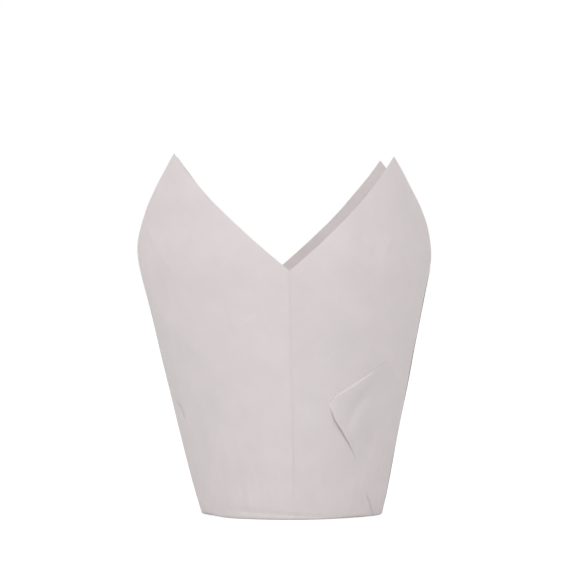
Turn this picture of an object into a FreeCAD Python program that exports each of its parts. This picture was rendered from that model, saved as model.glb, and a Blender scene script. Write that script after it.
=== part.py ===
"""Tulip cupcake liner: one square sheet of thin greaseproof paper, pressed into a cup.

The middle of the sheet is the flat round foot. Around it the paper stands up as a cone that turns
nearly upright at a shoulder, and the sheet's four corners stand as pointed petals. The spare paper
at the middle of each side is folded in: the edge of one petal's panel lies over the next panel as
a small step outside, and the fold's two hidden layers lie as a triangle on the inside of the wall.
Low on the right a pleat has been pressed outward instead and lies on the wall as a flap.

Millimetres, +Z up, origin at the centre of the foot's underside. Azimuth 0 is the front, -Y, and
azimuths grow towards +X.
"""

import FreeCAD, Part
import math
import os

sheet_side = 178.0
sheet_offset_x = -0.6
sheet_offset_y = 0.8

foot_diameter = 50.0
foot_round = 0.9
shoulder_height = 70.0
shoulder_bend = 5.0
shoulder_diameter = 81.0
bulge_height = 86.0
bulge_diameter = 82.8
crown_height = 104.0
crown_diameter = 82.0

# How far to the left the cup's centre is at the shoulder, because it leans on its foot.
shoulder_lean = 2.2

wall = 0.3
pleat_layers = 0.3
panel_step = 0.35

first_valley_azimuth = 1.5
quarter_turn = 90.0
half_panel = quarter_turn / 2
fold_azimuths = [first_valley_azimuth + quarter_turn * side for side in range(4)]

# The flap, as azimuth and height of its three corners.
flap_thickness = 0.7
flap_foot = (66.0, foot_round)
flap_point = (20.0, 32.0)
flap_shoulder = (63.0, 45.0)

foot_radius = foot_diameter / 2
cone_slope = math.atan2(shoulder_diameter / 2 - foot_radius, shoulder_height)
half_hidden_angle = math.radians(half_panel) * (1 - math.sin(cone_slope))
centre_line = FreeCAD.Vector(-shoulder_lean, 0, shoulder_height)
far = sheet_side


def outward(azimuth):
    """The level direction from the centre line towards an azimuth."""
    angle = math.radians(azimuth)
    return FreeCAD.Vector(math.sin(angle), -math.cos(angle), 0)


def along(azimuth):
    """The level direction along the wall at an azimuth, towards growing azimuths."""
    angle = math.radians(azimuth)
    return FreeCAD.Vector(math.cos(angle), math.sin(angle), 0)


def wall_profile():
    """Height and radius of the wall's outside at each bend, from the foot to above the petals."""
    cone = math.tan(cone_slope)
    below, above = shoulder_height - shoulder_bend, shoulder_height + shoulder_bend
    rise = (bulge_diameter - shoulder_diameter) / 2 / (bulge_height - shoulder_height)
    return [
        (0.0, foot_radius - foot_round),
        (foot_round, foot_radius + cone * foot_round),
        (below, foot_radius + cone * below),
        (above, shoulder_diameter / 2 + rise * shoulder_bend),
        (bulge_height, bulge_diameter / 2),
        (crown_height, crown_diameter / 2),
    ]


def radius_at(height):
    """The outer radius of the wall at a height."""
    profile = wall_profile()
    for (low, radius_low), (high, radius_high) in zip(profile, profile[1:]):
        if height <= high:
            share = max(0.0, (height - low) / (high - low))
            return radius_low + share * (radius_high - radius_low)
    return crown_diameter / 2


def centre_at(height):
    """The centre of the cup at a height, on its leaning centre line."""
    return centre_line * (height / shoulder_height)


def cup_body(inset, bottom, seam, shift=FreeCAD.Vector(0, 0, 0)):
    """The cup as a solid, shrunk by an inset and flat at the bottom; a shift leans it farther."""
    axis = (centre_line + shift).normalize()
    side = outward(seam)
    side = (side - axis * side.dot(axis)).normalize()
    profile = [(height, radius - inset) for height, radius in wall_profile()]
    (first_height, first_radius), (next_height, next_radius) = profile[:2]
    under = (first_height - foot_round, first_radius - (next_radius - first_radius))
    outline = [(under[0], 0.0), under] + profile + [(profile[-1][0], 0.0)]
    corners = [axis * height + side * radius for height, radius in outline]
    body = Part.Face(Part.makePolygon(corners + corners[:1])).revolve(FreeCAD.Vector(0, 0, 0), axis, 360)
    below = Part.makeBox(2 * far, 2 * far, far, FreeCAD.Vector(-far, -far, bottom - far))
    return body.cut(below)


def sector(azimuth_from, azimuth_to):
    """A wedge along the leaning centre line that holds the azimuths between two values."""
    middle = (azimuth_from + azimuth_to) / 2
    rise = centre_line * (far / shoulder_height)
    corners = [-rise] + [outward(azimuth) * far - rise for azimuth in (azimuth_from, middle, azimuth_to)]
    outline = Part.makePolygon(corners + corners[:1])
    return Part.Face(outline).extrude(rise * 2)


def side_slab(azimuth, outline, apex):
    """An outline of places along the wall and heights, pushed outward at an azimuth."""
    start = FreeCAD.Vector(apex.x, apex.y, 0)
    corners = [start + along(azimuth) * place + FreeCAD.Vector(0, 0, height) for place, height in outline]
    face = Part.Face(Part.makePolygon(corners + corners[:1]))
    return face.extrude(outward(azimuth) * far)


def height_of(slant):
    """The height that a length of paper reaches up the wall from the foot's edge."""
    cone_length = shoulder_height / math.cos(cone_slope)
    if slant <= cone_length:
        return slant * math.cos(cone_slope)
    return shoulder_height + slant - cone_length


def offset_towards(azimuth):
    """How much farther the sheet reaches on one side, from lying off centre when it was pressed."""
    return outward(azimuth).dot(FreeCAD.Vector(sheet_offset_x, sheet_offset_y, 0))


def rim_heights(tip_azimuth, turn):
    """Heights of a petal's tip and of the valley at one side of it. A square corner drops as it widens."""
    tip_reach = sheet_side / math.sqrt(2) - foot_radius
    half_width = math.radians(half_panel) * shoulder_diameter / 2
    valley = height_of(tip_reach - half_width + offset_towards(tip_azimuth + turn))
    return valley, height_of(tip_reach + offset_towards(tip_azimuth))


def under_edge(tip_azimuth, turn):
    """All that lies under one edge of a petal, on the side that the turn from its tip gives."""
    valley, tip = rim_heights(tip_azimuth, turn)
    middle = tip_azimuth + turn / 2
    run = shoulder_diameter * math.sin(math.radians(half_panel / 2))
    slope = math.copysign((tip - valley) / run, -turn)
    level = (tip + valley) / 2
    low = -2 * far
    outline = [(-far, low), (far, low), (far, level + slope * far), (-far, level - slope * far)]
    start = FreeCAD.Vector(centre_at(level).x, 0, 0) - outward(middle) * far
    corners = [start + along(middle) * place + FreeCAD.Vector(0, 0, height) for place, height in outline]
    return Part.Face(Part.makePolygon(corners + corners[:1])).extrude(outward(middle) * 2 * far)


def petal_blank(azimuth):
    """The quarter of space that one panel fills, from its fold to the next, under its petal's edges."""
    blank = sector(azimuth, azimuth + quarter_turn)
    for turn in (-half_panel, half_panel):
        blank = blank.common(under_edge(azimuth + half_panel, turn))
    return blank


def triangle_on_wall(corners):
    """A triangle given by azimuths and heights on the wall, pushed outward from the centre line."""
    azimuths = [azimuth for azimuth, _ in corners]
    heights = [height for _, height in corners]
    middle = (min(azimuths) + max(azimuths)) / 2
    outline = []
    for azimuth, height in corners:
        outline.append((radius_at(height) * math.sin(math.radians(azimuth - middle)), height))
    return side_slab(middle, outline, centre_at(sum(heights) / len(heights)))


def hidden_fold(azimuth):
    """Where the fold's two hidden layers lie inside the wall, as a triangle that starts at the foot."""
    valley, _ = rim_heights(azimuth + half_panel, -half_panel)
    side_reach = sheet_side / 2 - foot_radius + offset_towards(azimuth)
    reach_up = side_reach * math.cos(half_hidden_angle) * math.cos(cone_slope)
    reach_along = side_reach * math.sin(half_hidden_angle)
    span = math.degrees(reach_along / radius_at(reach_up))
    return triangle_on_wall([(azimuth, foot_round), (azimuth + span, reach_up), (azimuth, valley)])


def hollow(azimuth, seam):
    """The space inside the cup, less the hidden layers of one fold."""
    inside = cup_body(wall, wall, seam).cut(hidden_fold(azimuth))
    return inside.fuse(cup_body(wall + pleat_layers, wall + pleat_layers, seam))


def panel(azimuth):
    """A quarter of the cup with its petal. It stands a step proud at the fold where it begins."""
    seam = azimuth + half_panel + 180.0
    outside = cup_body(0.0, 0.0, seam, outward(azimuth) * panel_step)
    if azimuth <= flap_point[0] <= azimuth + quarter_turn:
        raised = cup_body(-flap_thickness, 0.0, seam)
        outside = outside.fuse(raised.common(triangle_on_wall([flap_foot, flap_shoulder, flap_point])))
    return outside.common(petal_blank(azimuth)).cut(hollow(azimuth, seam))


def liner():
    """The whole pressed sheet, one solid."""
    body = panel(fold_azimuths[0])
    for azimuth in fold_azimuths[1:]:
        body = body.fuse(panel(azimuth))
    return body.removeSplitter()


def export_node(shape, name):
    """Writes one sub-part as a STEP file and prints what a check by eye needs."""
    os.makedirs("parts", exist_ok=True)
    solids = shape.Solids
    box = shape.BoundBox
    size = f"{box.XLength:.1f} x {box.YLength:.1f} x {box.ZLength:.1f} mm"
    print(f"{name}: {len(solids)} solid, {len(shape.Faces)} faces, valid {shape.isValid()}, {size}")
    print(f"volume {shape.Volume:.0f} mm3")
    solid = solids[0] if len(solids) == 1 else shape
    solid.exportStep(f"parts/{name}.step")


export_node(liner(), "liner")
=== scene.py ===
# The looks of one tulip cupcake liner: a square sheet of thin greaseproof paper, pressed into a cup.
# The sheet is laid flat, cut and scored, and every point of it is then carried to its place on the
# cup, so that the folds, the hidden layers and the petals are all one piece of paper.
import math
import bmesh
import bpy
from mathutils import Matrix, Vector, noise


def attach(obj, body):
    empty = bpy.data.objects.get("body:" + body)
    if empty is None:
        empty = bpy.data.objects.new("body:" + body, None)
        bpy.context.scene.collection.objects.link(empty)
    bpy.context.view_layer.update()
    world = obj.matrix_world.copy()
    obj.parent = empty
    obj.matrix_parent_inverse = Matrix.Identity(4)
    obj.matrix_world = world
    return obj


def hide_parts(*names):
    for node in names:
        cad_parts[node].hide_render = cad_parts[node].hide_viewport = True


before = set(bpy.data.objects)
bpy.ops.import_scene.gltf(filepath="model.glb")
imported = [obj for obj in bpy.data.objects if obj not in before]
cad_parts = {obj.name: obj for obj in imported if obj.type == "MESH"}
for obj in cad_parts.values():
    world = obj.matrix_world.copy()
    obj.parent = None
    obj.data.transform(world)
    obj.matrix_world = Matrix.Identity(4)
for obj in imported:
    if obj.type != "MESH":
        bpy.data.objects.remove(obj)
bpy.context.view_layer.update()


# The blank. A square of off-white baking paper, cut by machine. It lies a little off the middle of
# the round former, whose foot marks it with a circle, and each side is scored where it will fold.
sheet_side = 178.0
sheet_centre = Vector((-0.6, 0.8, 0.0))
foot_radius = 25.0
shoulder_height = 70.0
shoulder_radius = 40.5
first_fold = math.radians(1.5)
quarter = math.pi / 2
cone_slope = math.atan2(shoulder_radius - foot_radius, shoulder_height)
fold_slant = quarter / 2 * (1 - math.sin(cone_slope))
turn_steps = 480
foot_rings = [0.0, 6.0, 12.0, 17.0, 21.0, 23.4, 24.1, 24.5, 24.8, 25.1, 25.5, 25.9, 26.3, 26.8, 27.4, 28.1]
wall_ring_start = 29.0
wall_ring_step = 1.15
wall_rings = [wall_ring_start + wall_ring_step * step for step in range(87)]
merge_distance = 0.002
cut_tolerance = 0.01
score_margin = 0.5


def heading(angle):
    """The level direction at an angle from the front, turning towards the right."""
    return Vector((math.sin(angle), -math.cos(angle), 0.0))


def hidden_half(reach):
    """Half of the angle that a side's fold takes up, at a distance from the foot's centre."""
    return fold_slant - math.asin(min(1.0, foot_radius * math.sin(fold_slant) / max(reach, foot_radius)))


def side_of(point):
    """The side of the sheet that a point is nearest, and the point's angle from that side's middle."""
    bearing = math.atan2(point.x, -point.y) - first_fold
    side = round(bearing / quarter)
    return side, bearing - side * quarter


def everything(mesh):
    """All of a bmesh, as its operators want it."""
    return mesh.verts[:] + mesh.edges[:] + mesh.faces[:]


sheet = bmesh.new()
ray = [sheet.verts.new(heading(first_fold) * reach) for reach in foot_rings + wall_rings]
spokes = [sheet.edges.new(pair) for pair in zip(ray, ray[1:])]
bmesh.ops.spin(
    sheet, geom=ray + spokes, axis=(0, 0, 1), cent=(0, 0, 0),
    angle=2 * math.pi, steps=turn_steps, use_merge=True,
)
bmesh.ops.remove_doubles(sheet, verts=sheet.verts[:], dist=merge_distance)
for turn in range(4):
    way = heading(first_fold + turn * quarter)
    edge = sheet_centre + way * (sheet_side / 2)
    bmesh.ops.bisect_plane(
        sheet, geom=everything(sheet), dist=cut_tolerance, plane_co=edge, plane_no=way, clear_outer=True
    )
    wedge = []
    for face in sheet.faces:
        middle = face.calc_center_median()
        side, off_side = side_of(middle)
        if side % 4 == turn and off_side > 0 and middle.length > foot_radius - score_margin:
            wedge.append(face)
    around = {part for face in wedge for part in [*face.verts, *face.edges]}
    across = heading(first_fold + turn * quarter + fold_slant + quarter)
    bmesh.ops.bisect_plane(
        sheet, geom=wedge + list(around), dist=cut_tolerance, plane_co=way * foot_radius, plane_no=across
    )

flat_map = sheet.loops.layers.uv.new("UVMap")
outer_layer = sheet.faces.layers.int.new("outer")
for face in sheet.faces:
    middle = face.calc_center_median()
    face[outer_layer] = abs(side_of(middle)[1]) >= hidden_half(middle.length)
    for loop in face.loops:
        loop[flat_map].uv = (loop.vert.co.xy - sheet_centre.xy) / sheet_side + Vector((0.5, 0.5))


# The pressing. The former leaves a flat foot with a small round, a cone above it and a soft shoulder,
# and each side's spare paper is folded in, two layers deep behind the panel that covers it.
shoulder_bend = 9.0
bulge_height = 86.0
bulge_radius = 41.4
crown_height = 104.0
crown_radius = 41.0
foot_bend = 0.65
lean_left = 1.85 / shoulder_height
paper_thickness = 0.04
fold_press = 1.3
foot_pull = 25.0
cone_length = shoulder_height / math.cos(cone_slope)

# The four folds, from the front round to the right: how far apart their layers lie, and how far
# their hidden layers press the panel outward.
layer_gaps = [0.048, 0.11, 0.13, 0.11]
print_through = [0.02, 0.10, 0.12, 0.10]
print_edge = (-1.4, 0.3)
print_start = (3.0, 12.0)
lap_start = (-1.0, 6.0)


def smooth(low, high, value):
    """0 below low, 1 above high, and an even turn between them."""
    share = min(1.0, max(0.0, (value - low) / (high - low)))
    return share * share * (3 - 2 * share)


def line_at(height, low, low_radius, high, high_radius):
    """Radius at a height on the straight line between two heights."""
    return low_radius + (high_radius - low_radius) * (height - low) / (high - low)


def wall_radius(height):
    """Radius of the cup at a height, with the shoulder bent softly."""
    cone = foot_radius + math.tan(cone_slope) * height
    if height < bulge_height:
        upper = line_at(height, shoulder_height, shoulder_radius, bulge_height, bulge_radius)
    else:
        upper = line_at(height, bulge_height, bulge_radius, crown_height, crown_radius)
    turned = smooth(shoulder_height - shoulder_bend, shoulder_height + shoulder_bend, height)
    return cone + (upper - cone) * turned


def profile(length):
    """Radius and height that a length of paper reaches, measured outward from the foot's edge."""
    if length <= -foot_bend:
        return foot_radius + length, 0.0
    if length < foot_bend:
        share = (length + foot_bend) / (2 * foot_bend)
        inward, upward = (1 - share) ** 2, share ** 2
        rise = foot_bend * upward
        return foot_radius - foot_bend * inward + rise * math.sin(cone_slope), rise * math.cos(cone_slope)
    height = length * math.cos(cone_slope)
    if length > cone_length:
        height = shoulder_height + length - cone_length
    return wall_radius(height), height


def kept_share(reach, from_corner):
    """How much of a point's reach counts up the wall, at an angle from the line to its corner."""
    near_foot = 1 - smooth(0.0, foot_pull, reach - foot_radius)
    return near_foot + (1 - near_foot) * math.cos(from_corner)


def spread_beside(hidden):
    """How much a side's shown paper is spread round the cup when its hidden half is tucked away."""
    return (quarter / 2) / (quarter / 2 - hidden)


def press(point):
    """Where a point of the flat sheet comes to lie: azimuth, length from the foot's edge, and depth."""
    reach = point.length
    side, off_side = side_of(point)
    length = reach * kept_share(reach, quarter / 2 - abs(off_side)) - foot_radius
    hidden = hidden_half(reach)
    spread = spread_beside(hidden)
    start = first_fold + side * quarter
    to_score = 1 - smooth(0.0, fold_press, abs(off_side - hidden) * reach)
    to_middle = 1 - smooth(0.0, fold_press, abs(off_side) * reach)
    if off_side > hidden:
        turned = (off_side - hidden) * spread
        depth = 0.5 * to_score
    elif off_side > 0:
        turned = (hidden - off_side) * spread
        depth = 1 - 0.5 * to_score + 0.5 * to_middle
    else:
        turned = (off_side + hidden) * spread
        depth = 2 - 0.5 * to_middle
    if turned < 0:
        turned += quarter
        depth = 0.0
        start -= quarter
        side -= 1
    gap = layer_gaps[side % 4]
    outward = 2 * gap * (1 - turned / quarter) - depth * gap
    past_layers = (turned - hidden * spread) * wall_radius(max(0.0, length))
    outward += print_through[side % 4] * (1 - smooth(*print_edge, past_layers)) * smooth(*print_start, length)
    outward *= smooth(*lap_start, length)
    return start + turned, length, outward


# The handling marks. Pressing and packing leave the wall slightly uneven, with short creases of
# their own. Each crease is given as azimuth in degrees and height, then its depth and its width.
creases = [
    ([(-48, 2.6), (-25, 2.0), (5, 1.0), (31, 0.5)], -0.22, 0.8),
    ([(65, 0.1), (57, 4.0), (49, 8.5)], -0.16, 1.6),
    ([(42, 35.0), (34, 30.0), (27, 23.6)], -0.58, 2.1),
    ([(-24, 31.7), (-19, 26.9), (-18, 21.5)], -0.12, 1.3),
    ([(-26, 53.8), (-21, 52.2), (-13, 56.0)], 0.10, 1.4),
    ([(-71, 31.0), (-67, 26.5)], -0.55, 1.9),
    ([(-66, 81.5), (-48, 66.7)], 0.28, 1.3),
    ([(-62, 78.2), (-52, 72.7)], 0.20, 1.1),
    ([(28, 79.2), (34, 72.6), (42, 69.4)], -0.34, 2.0),
    ([(44, 77.0), (39, 70.0)], 0.24, 1.6),
    ([(108, 74.0), (121, 64.0), (126, 52.0)], -0.24, 1.8),
    ([(139, 83.0), (131, 71.0)], 0.22, 1.4),
    ([(160, 44.0), (171, 57.0)], -0.18, 1.6),
    ([(203, 76.0), (214, 66.0), (216, 57.0)], -0.26, 1.8),
    ([(232, 86.0), (240, 72.0)], 0.22, 1.5),
    ([(262, 34.0), (252, 49.0), (256, 60.0)], -0.20, 1.7),
    ([(296, 79.0), (303, 68.0)], 0.20, 1.4),
]
crease_reach = 5.0
crease_ends = 0.25
crease_least = 0.1
crease_start = (-0.3, 0.8)

# The cup's bottom edge is lifted a little in two places, at the flap's foot and at the left, where
# it was pinched. Each is an azimuth in degrees, then how far it spreads and how far it is lifted.
lifted_edges = [(46.0, 20.0, 0.35), (-68.0, 14.0, 0.60)]
lift_start = (-2.5, 0.0)
lift_end = (2.0, 9.0)

# Waves of the paper: how far they push it, how close they stand round the cup, how tall they are,
# and where their noise starts. The pairs after them are where each kind comes in or dies out.
broad_wave = (0.32, 1.7, 55, (0.0, 0.0))
flutes = (0.20, 6.5, 80, (7.0, 0.0))
rumples = (0.10, 8.0, 10, (0.0, 9.0))
puckers = (0.13, 17.0, 40, (5.0, 3.0))
crown_wave = (0.85, 3.2, 26, (4.0, 2.0))
waves_from_foot = (0.0, 2.0)
wall_waves_start = (1.0, 20.0)
puckers_start = (0.5, 3.0)
puckers_end = (5.0, 22.0)
crown_wave_start = (66.0, 95.0)


def unrolled(azimuth, height):
    """A place on the wall as if the wall were rolled out flat, in millimetres."""
    return Vector((azimuth * wall_radius(height), height))


def segment_distance(place, start, end):
    """Distance from a place to a straight run, and how far along the run its nearest point is."""
    run = end - start
    share = min(1.0, max(0.0, (place - start).dot(run) / run.length_squared))
    return (place - start - run * share).length, share


crease_lines = []
for spots, depth, width in creases:
    spots = [(azimuth - 360 if azimuth > 180 else azimuth, height) for azimuth, height in spots]
    corners = [unrolled(math.radians(azimuth), height) for azimuth, height in spots]
    crease_lines.append((corners, depth, width))


def crease_at(place):
    """How far the creases push a place of the unrolled wall outward."""
    total = 0.0
    for corners, depth, width in crease_lines:
        best = 0.0
        for number, (start, end) in enumerate(zip(corners, corners[1:])):
            if min(start.y, end.y) - crease_reach > place.y or place.y > max(start.y, end.y) + crease_reach:
                continue
            distance, share = segment_distance(place, start, end)
            along = (number + share) / (len(corners) - 1)
            ends = smooth(0.0, crease_ends, along) * smooth(0.0, crease_ends, 1 - along)
            ends = ends * (1 - crease_least) + crease_least
            best = max(best, ends * math.exp(-((distance / width) ** 2) * 2))
        total += depth * best
    return total


def wave_at(azimuth, height, wave):
    """How far one kind of wave pushes a place outward."""
    size, often, tall, (start_x, start_y) = wave
    ring = Vector((math.sin(azimuth), math.cos(azimuth), 0.0))
    return size * noise.noise(ring * often + Vector((start_x, start_y, height / tall)))


def unevenness(azimuth, height):
    """How far all the soft waves of the pressed paper push a place outward."""
    wall_part = sum(wave_at(azimuth, height, wave) for wave in (broad_wave, flutes, rumples))
    wall_part *= smooth(*wall_waves_start, height)
    foot_part = wave_at(azimuth, height, puckers) * smooth(*puckers_start, height)
    foot_part *= 1 - smooth(*puckers_end, height)
    return wall_part + foot_part + wave_at(azimuth, height, crown_wave) * smooth(*crown_wave_start, height)


for vert in sheet.verts:
    azimuth, length, outward = press(vert.co)
    radius, height = profile(length)
    centred = (azimuth + math.pi) % (2 * math.pi) - math.pi
    outward += unevenness(azimuth, height) * smooth(*waves_from_foot, length)
    outward += crease_at(unrolled(centred, height)) * smooth(*crease_start, length)
    vert.co = heading(azimuth) * (radius + outward)
    vert.co.x -= lean_left * height
    vert.co.z = height + paper_thickness / 2
    for lift_azimuth, spread, lift in lifted_edges:
        lifted = lift * math.exp(-(((math.degrees(centred) - lift_azimuth) / spread) ** 2))
        vert.co.z += lifted * smooth(*lift_start, length) * (1 - smooth(*lift_end, height))


# The flap. Low on the right a pleat was pressed outward. It lies on the wall as a triangle, loose
# along its left fold and its upper edge, and runs out into the wall on its right. Its corners are
# given across and up, as seen from the front.
flap_foot = Vector((22.7, 0.6))
flap_point = Vector((9.7, 31.5))
flap_shoulder = Vector((29.4, 44.1))
flap_corners = [flap_point, flap_foot, flap_shoulder]
front_limit = -5.0
cut_margin = 0.25

# How the flap stands off the wall. In a pair, a change starts at the first share and ends at the
# second, where a share is how near a place is to one of the corners.
flap_lift = 0.55
rise_to_point = (0.0, 0.55)
rounded_point = (0.0, 0.15)
sink_to_foot = (0.20, 0.54)
sink_to_shoulder = (0.50, 0.90)
rim_share = 0.004
least_rise = 0.07
flap_overhang = 0.9
overhang_width = 0.22
flap_slant = 0.45
slant_width = 0.12
gape_size = 0.9
gape_middle = 0.22
gape_spread = 0.13
gape_width = 0.25

# How the flap's left fold and its upper edge bow.
fold_bow_size = 1.3
fold_bow_start = (0.0, 0.25)
fold_bow_end = (0.45, 0.85)
edge_bow_size = 1.2
edge_bow_start = (0.0, 0.12)
edge_bow_end = (0.75, 1.0)
bow_spread = 0.15


def area(first, second, third):
    """Twice the signed area of a triangle seen from the front."""
    return (second - first).cross(third - first)


def flap_shares(place):
    """How near a place is to the flap's point, foot and shoulder, as shares that add up to 1."""
    whole = area(*flap_corners)
    point_share = area(place, flap_foot, flap_shoulder) / whole
    foot_share = area(flap_point, place, flap_shoulder) / whole
    return point_share, foot_share, 1 - point_share - foot_share


def seen(point):
    """A place as it is seen from the front: across and up."""
    return Vector((point.x, point.z))


def middle_at(height):
    """The middle of the leaning cup at a height."""
    return Vector((-lean_left * height, 0.0, height))


def faces_near_flap(margin):
    """The outer faces on the flap, or within a margin of it, as a share of its size."""
    found = []
    for face in sheet.faces:
        middle = face.calc_center_median()
        if face[outer_layer] and middle.y < front_limit and min(flap_shares(seen(middle))) > -margin:
            found.append(face)
    return found


for start, end in zip(flap_corners, flap_corners[1:] + flap_corners[:1]):
    near = faces_near_flap(cut_margin)
    parts = {part for face in near for part in [*face.verts, *face.edges]}
    edge_way = Vector((end.x - start.x, 0.0, end.y - start.y))
    bmesh.ops.bisect_plane(
        sheet, geom=near + list(parts), dist=cut_tolerance, plane_co=(start.x, 0.0, start.y),
        plane_no=edge_way.cross(Vector((0.0, 1.0, 0.0))),
    )
flap = faces_near_flap(0.0)
flap_verts = {vert for face in flap for vert in face.verts}
flap_edges = {edge for face in flap for edge in face.edges}
raised = bmesh.ops.extrude_face_region(sheet, geom=flap + list(flap_edges))["geom"]
raised_verts = [part for part in raised if isinstance(part, bmesh.types.BMVert)]
near_flap = raised_verts + [vert for vert in flap_verts if vert.is_valid]
left_way = Vector((flap_foot.y - flap_point.y, flap_point.x - flap_foot.x)).normalized()
top_way = Vector((flap_shoulder.y - flap_point.y, flap_point.x - flap_shoulder.x)).normalized()
for vert in raised_verts:
    point_share, foot_share, shoulder_share = flap_shares(seen(vert.co))
    rise = smooth(*rise_to_point, point_share) * smooth(*rounded_point, 1 - point_share)
    rise *= (1 - smooth(*sink_to_foot, foot_share)) * (1 - smooth(*sink_to_shoulder, shoulder_share))
    if min(point_share, foot_share, shoulder_share) < rim_share and rise < least_rise:
        rise = 0.0
    out = (vert.co - middle_at(vert.co.z)).normalized()
    slip = left_way * flap_overhang * rise ** 2 * (1 - smooth(0.0, overhang_width, shoulder_share))
    slip += top_way * flap_slant * rise ** 2 * (1 - smooth(0.0, slant_width, foot_share))
    gape = gape_size * math.exp(-(((foot_share - gape_middle) / gape_spread) ** 2))
    gape *= 1 - smooth(0.0, gape_width, shoulder_share)
    vert.co += out * flap_lift * rise * (1 + gape) + Vector((slip.x, 0.0, slip.y))
bmesh.ops.remove_doubles(sheet, verts=near_flap, dist=cut_tolerance)
for vert in sheet.verts:
    if vert.co.y > front_limit:
        continue
    point_share, foot_share, shoulder_share = flap_shares(seen(vert.co))
    axis = middle_at(vert.co.z)
    fold_bow = fold_bow_size * smooth(*fold_bow_start, foot_share) * (1 - smooth(*fold_bow_end, foot_share))
    fold_bow *= math.exp(-((shoulder_share / bow_spread) ** 2))
    vert.co = axis + Matrix.Rotation(fold_bow / -vert.co.y, 3, "Z") @ (vert.co - axis)
    edge_bow = edge_bow_size * smooth(*edge_bow_start, shoulder_share)
    edge_bow *= 1 - smooth(*edge_bow_end, shoulder_share)
    edge_bow *= math.exp(-((foot_share / bow_spread) ** 2))
    up_the_wall = Vector((-lean_left, 0.0, 1.0)) + (vert.co - axis).normalized() * math.tan(cone_slope)
    vert.co += up_the_wall * edge_bow

MM = 0.001
sharp_fold = math.radians(38)
bmesh.ops.scale(sheet, vec=(MM, MM, MM), verts=sheet.verts[:])
bmesh.ops.recalc_face_normals(sheet, faces=sheet.faces[:])
thin_mesh = bpy.data.meshes.new("pressed_sheet_surface")
sheet.to_mesh(thin_mesh)
sheet.free()
pressed_sheet = bpy.data.objects.new("pressed_sheet", thin_mesh)
bpy.context.collection.objects.link(pressed_sheet)
body_of_paper = pressed_sheet.modifiers.new("paper_thickness", "SOLIDIFY")
body_of_paper.thickness = paper_thickness * MM
body_of_paper.offset = 0.0
thickened = pressed_sheet.evaluated_get(bpy.context.evaluated_depsgraph_get())
paper_mesh = bpy.data.meshes.new_from_object(thickened)
paper_mesh.name = "pressed_sheet"
pressed_sheet.modifiers.clear()
pressed_sheet.data = paper_mesh
bpy.data.meshes.remove(thin_mesh)
paper_mesh.shade_smooth()
paper_mesh.set_sharp_from_angle(angle=sharp_fold)


# The paper. Matt, uncoated and off-white, with soft clouds where its pulp lay thicker, short fibres
# that can just be seen, and fine lines along its bends: a painted highlight on a ridge, painted shade in a
# pinched fold.
search_rounds = 12


def unpress(azimuth, height):
    """The point of the flat sheet whose outermost layer comes to lie at an azimuth and a height."""
    length = height / math.cos(cone_slope)
    if height > shoulder_height:
        length = cone_length + height - shoulder_height
    side, turned = divmod(azimuth - first_fold, quarter)
    reach = length + foot_radius
    for _ in range(search_rounds):
        hidden = hidden_half(reach)
        off_side = min(turned, quarter - turned) / spread_beside(hidden) + hidden
        reach = (length + foot_radius) / kept_share(reach, quarter / 2 - off_side)
    from_start = off_side if turned < quarter / 2 else quarter - off_side
    return heading(first_fold + side * quarter + from_start) * reach


# Each fine line is given as azimuth in degrees and height of its two ends, its width, and how much
# paler it is than the paper: a paler line is a painted highlight along a ridge, a darker one is painted shade
# in a fold or dent.
painted_light_lines = [
    ([(62.5, 0.2), (52.5, 5.6)], 0.75, -0.16),
    ([(52, 7.6), (40, 14.6)], 0.50, 0.03),
    ([(-72, 31.4), (-68.5, 27.2)], 1.0, -0.12),
    ([(-66, 81.5), (-48, 66.7)], 0.50, 0.035),
    ([(-62, 78.2), (-52, 72.7)], 0.45, 0.03),
    ([(-21, 52.2), (-13, 56.0)], 0.60, 0.02),
    ([(-24, 31.7), (-19, 24.0)], 0.50, -0.02),
    ([(36, 74.5), (34, 71.0)], 0.50, -0.04),
    ([(44, 77.0), (39, 70.0)], 0.50, 0.03),
    ([(110, 73.0), (124, 57.0)], 0.45, 0.035),
    ([(205, 75.0), (215, 59.0)], 0.45, -0.035),
]
fold_mark = (0.50, 0.04)
fold_mark_length = 80
mark_runs = []
for spots, width, paler in painted_light_lines:
    start, end = [unpress(math.radians(azimuth), height) for azimuth, height in spots]
    mark_runs.append((start, end, width, paler))
for turn in range(1, 4):
    root = heading(first_fold + turn * quarter) * foot_radius
    scored = heading(first_fold + turn * quarter + fold_slant) * fold_mark_length
    mark_runs.append((root, root + scored, *fold_mark))


def join(tree, kind, operation, *sources):
    """A maths node fed by sockets or plain values, in order. None leaves an input alone."""
    node = tree.nodes.new(kind)
    node.operation = operation
    for socket, source in zip(node.inputs, sources):
        if isinstance(source, bpy.types.NodeSocket):
            tree.links.new(source, socket)
        elif source is not None:
            socket.default_value = source
    return node


numbers = "ShaderNodeMath"
vectors = "ShaderNodeVectorMath"
crease_line = bpy.data.node_groups.new("crease_line", "ShaderNodeTree")
for label, kind in (("Sheet", "Vector"), ("Start", "Vector"), ("End", "Vector"), ("Width", "Float")):
    crease_line.interface.new_socket(label, in_out="INPUT", socket_type="NodeSocket" + kind)
crease_line.interface.new_socket("Mark", in_out="OUTPUT", socket_type="NodeSocketFloat")
given = crease_line.nodes.new("NodeGroupInput").outputs
to_place = join(crease_line, vectors, "SUBTRACT", given["Sheet"], given["Start"]).outputs["Vector"]
run = join(crease_line, vectors, "SUBTRACT", given["End"], given["Start"]).outputs["Vector"]
reached = join(crease_line, vectors, "DOT_PRODUCT", to_place, run).outputs["Value"]
whole = join(crease_line, vectors, "DOT_PRODUCT", run, run).outputs["Value"]
along = join(crease_line, numbers, "DIVIDE", reached, whole)
along.use_clamp = True
nearest = join(crease_line, vectors, "SCALE", run, None, None, along.outputs["Value"]).outputs["Vector"]
apart = join(crease_line, vectors, "SUBTRACT", to_place, nearest).outputs["Vector"]
distance = join(crease_line, vectors, "LENGTH", apart).outputs["Value"]
soft_edge = crease_line.nodes.new("ShaderNodeMapRange")
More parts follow.
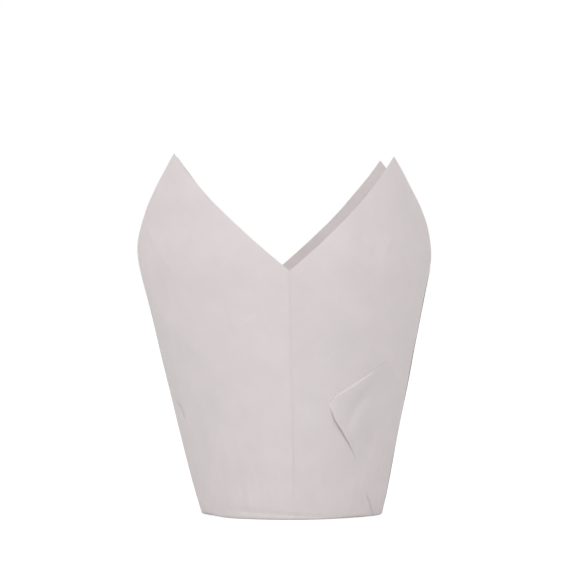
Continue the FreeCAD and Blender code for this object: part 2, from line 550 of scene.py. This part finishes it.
soft_edge.interpolation_type = "SMOOTHSTEP"
soft_edge.inputs["To Min"].default_value = 1.0
soft_edge.inputs["To Max"].default_value = 0.0
crease_line.links.new(distance, soft_edge.inputs["Value"])
crease_line.links.new(given["Width"], soft_edge.inputs["From Max"])
result = crease_line.nodes.new("NodeGroupOutput")
crease_line.links.new(soft_edge.outputs["Result"], result.inputs["Mark"])

thin_pulp = (0.788, 0.731, 0.733, 1.0)
thick_pulp = (0.828, 0.770, 0.769, 1.0)
fibre_height = 0.012
wander_width = Vector((0.9, 0.9, 0.0))
paper = bpy.data.materials.new("greaseproof_paper")
paper.use_nodes = True
paper_tree = paper.node_tree
nodes, links = paper_tree.nodes, paper_tree.links
surface = nodes["Principled BSDF"]
surface.inputs["Specular IOR Level"].default_value = 0.3
flat_sheet = nodes.new("ShaderNodeTexCoord")


def sheet_noise(**settings):
    """A noise that lies on the flat sheet, with the settings that are given by their labels."""
    texture = nodes.new("ShaderNodeTexNoise")
    for label, value in settings.items():
        texture.inputs[label].default_value = value
    links.new(flat_sheet.outputs["UV"], texture.inputs["Vector"])
    return texture


clouds = sheet_noise(Scale=22.0, Detail=5.0, Roughness=0.55)
fibres = sheet_noise(Scale=320.0, Detail=3.0, Distortion=1.6)
wander = sheet_noise(Scale=60.0)
tone = nodes.new("ShaderNodeValToRGB")
tone.color_ramp.elements[0].position = 0.25
tone.color_ramp.elements[0].color = thin_pulp
tone.color_ramp.elements[1].position = 0.75
tone.color_ramp.elements[1].color = thick_pulp
links.new(clouds.outputs["Fac"], tone.inputs["Fac"])
flecks = nodes.new("ShaderNodeMix")
flecks.data_type = "RGBA"
flecks.blend_type = "MULTIPLY"
flecks.inputs["Factor"].default_value = 0.05
links.new(tone.outputs["Color"], flecks.inputs["A"])
links.new(fibres.outputs["Fac"], flecks.inputs["B"])
corner = sheet_centre - Vector((sheet_side / 2, sheet_side / 2, 0.0))
in_mm = join(paper_tree, vectors, "MULTIPLY_ADD", flat_sheet.outputs["UV"], [sheet_side] * 3, corner)
drift = join(paper_tree, vectors, "MULTIPLY_ADD", wander.outputs["Color"], wander_width, wander_width / -2)
place_on_sheet = join(paper_tree, vectors, "ADD", in_mm.outputs["Vector"], drift.outputs["Vector"])
# Painted highlight and painted shade: the fine lines lighten or darken the base colour, and the three scored
# folds get a paler line. The same sum also raises or sinks the bump.
painted_light_and_bump = 0.0
for start, end, width, paler in mark_runs:
    mark = nodes.new("ShaderNodeGroup")
    mark.node_tree = crease_line
    mark.inputs["Start"].default_value = start
    mark.inputs["End"].default_value = end
    mark.inputs["Width"].default_value = width
    links.new(place_on_sheet.outputs["Vector"], mark.inputs["Sheet"])
    painted_light_and_bump = join(paper_tree, numbers, "MULTIPLY_ADD", mark.outputs["Mark"], paler, painted_light_and_bump).outputs["Value"]
painted_brightness = join(paper_tree, numbers, "ADD", painted_light_and_bump, 1.0).outputs["Value"]
height_in_mm = join(paper_tree, numbers, "MULTIPLY_ADD", fibres.outputs["Fac"], fibre_height, painted_light_and_bump)
paper_tone_with_painted_lines = join(paper_tree, vectors, "SCALE", flecks.outputs["Result"], None, None, painted_brightness)
links.new(paper_tone_with_painted_lines.outputs["Vector"], surface.inputs["Base Color"])
dullness = nodes.new("ShaderNodeMapRange")
dullness.inputs["To Min"].default_value = 0.68
dullness.inputs["To Max"].default_value = 0.86
links.new(clouds.outputs["Fac"], dullness.inputs["Value"])
links.new(dullness.outputs["Result"], surface.inputs["Roughness"])
tooth = nodes.new("ShaderNodeBump")
tooth.inputs["Strength"].default_value = 0.6
tooth.inputs["Distance"].default_value = MM
links.new(height_in_mm.outputs["Value"], tooth.inputs["Height"])
links.new(tooth.outputs["Normal"], surface.inputs["Normal"])
shine_through = nodes.new("ShaderNodeBsdfTranslucent")
links.new(flecks.outputs["Result"], shine_through.inputs["Color"])
links.new(tooth.outputs["Normal"], shine_through.inputs["Normal"])
thinness = nodes.new("ShaderNodeMixShader")
thinness.inputs["Fac"].default_value = 0.18
links.new(surface.outputs["BSDF"], thinness.inputs[1])
links.new(shine_through.outputs["BSDF"], thinness.inputs[2])
links.new(thinness.outputs["Shader"], nodes["Material Output"].inputs["Surface"])
paper_mesh.materials.append(paper)
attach(pressed_sheet, "root")
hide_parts("liner")


# The floor and the white behind it. A plain table that runs out into plain white, as in a catalogue.
# Seen by the camera both are white, apart from the soft shadow at the foot of the cup.
floor_half = 8.0
floor_drop = 0.05 * MM
floor_mesh = bpy.data.meshes.new("floor")
floor_build = bmesh.new()
bmesh.ops.create_grid(floor_build, x_segments=1, y_segments=1, size=floor_half)
bmesh.ops.translate(floor_build, vec=(0.0, 0.0, -floor_drop), verts=floor_build.verts[:])
floor_build.to_mesh(floor_mesh)
floor_build.free()
floor = bpy.data.objects.new("floor", floor_mesh)
bpy.context.collection.objects.link(floor)


def seen_white(tree):
    """A socket that is 1 for what the camera sees, also in a reflection, and 0 for what lights."""
    rays = tree.nodes.new("ShaderNodeLightPath")
    total = rays.outputs["Is Camera Ray"]
    for kind in ("Is Glossy Ray", "Is Transmission Ray"):
        total = join(tree, numbers, "MAXIMUM", total, rays.outputs[kind]).outputs["Value"]
    return total


white_floor = bpy.data.materials.new("white_floor")
white_floor.use_nodes = True
floor_tree = white_floor.node_tree
floor_tree.nodes.clear()
plain = floor_tree.nodes.new("ShaderNodeBsdfDiffuse")
plain.inputs["Color"].default_value = (0.8, 0.8, 0.8, 1.0)
faint = floor_tree.nodes.new("ShaderNodeBsdfDiffuse")
faint.inputs["Color"].default_value = (0.28, 0.28, 0.28, 1.0)
glow = floor_tree.nodes.new("ShaderNodeEmission")
glow.inputs["Strength"].default_value = 0.88
both = floor_tree.nodes.new("ShaderNodeAddShader")
pick = floor_tree.nodes.new("ShaderNodeMixShader")
floor_out = floor_tree.nodes.new("ShaderNodeOutputMaterial")
floor_tree.links.new(faint.outputs["BSDF"], both.inputs[0])
floor_tree.links.new(glow.outputs["Emission"], both.inputs[1])
floor_tree.links.new(seen_white(floor_tree), pick.inputs["Fac"])
floor_tree.links.new(plain.outputs["BSDF"], pick.inputs[1])
floor_tree.links.new(both.outputs["Shader"], pick.inputs[2])
floor_tree.links.new(pick.outputs["Shader"], floor_out.inputs["Surface"])
floor_mesh.materials.append(white_floor)

world = bpy.data.worlds.new("studio")
bpy.context.scene.world = world
world.use_nodes = True
sky = world.node_tree
sky.nodes.clear()
soft_light = sky.nodes.new("ShaderNodeBackground")
soft_light.inputs["Color"].default_value = (1.0, 1.0, 1.0, 1.0)
soft_light.inputs["Strength"].default_value = 0.72
white = sky.nodes.new("ShaderNodeBackground")
white.inputs["Color"].default_value = (1.0, 1.0, 1.0, 1.0)
sky_pick = sky.nodes.new("ShaderNodeMixShader")
sky_out = sky.nodes.new("ShaderNodeOutputWorld")
sky.links.new(seen_white(sky), sky_pick.inputs["Fac"])
sky.links.new(soft_light.outputs["Background"], sky_pick.inputs[1])
sky.links.new(white.outputs["Background"], sky_pick.inputs[2])
sky.links.new(sky_pick.outputs["Shader"], sky_out.inputs["Surface"])


# The lamps. One wide soft box stands in front, high and to the left, and a weaker one fills the
# right, so that the middle and the left of the wall are brightest and the right is greyest.
# Each lamp is given as its name, its place, the side of its square and its power.
lamps = [
    ("soft_box", (-0.80, -1.15, 0.80), 1.1, 8.6),
    ("fill", (1.05, -0.95, 0.30), 0.9, 4.0),
]
aim = Vector((0.0, 0.0, 0.055))
for lamp_name, place, size, power in lamps:
    lamp_data = bpy.data.lights.new(lamp_name, "AREA")
    lamp_data.shape = "SQUARE"
    lamp_data.size = size
    lamp_data.energy = power
    lamp = bpy.data.objects.new(lamp_name, lamp_data)
    lamp.location = place
    lamp.rotation_mode = "QUATERNION"
    lamp.rotation_quaternion = (aim - Vector(place)).to_track_quat("-Z", "Y")
    bpy.context.collection.objects.link(lamp)


# The camera. It stands level with the middle of the wall, a long step in front of the cup, with a
# long lens, as the photograph was taken.
camera_left = 1.53 * MM
camera_distance = 0.93
camera_height = 63.15 * MM
camera_data = bpy.data.cameras.new("camera")
camera_data.lens = 210.3
camera_data.sensor_width = 36.0
camera_data.clip_end = 50.0
camera = bpy.data.objects.new("camera", camera_data)
camera.location = (-camera_left, -camera_distance, camera_height)
camera.rotation_euler = (math.radians(90), 0.0, 0.0)
bpy.context.collection.objects.link(camera)
bpy.context.scene.camera = camera
bpy.context.scene.view_settings.view_transform = "Standard"
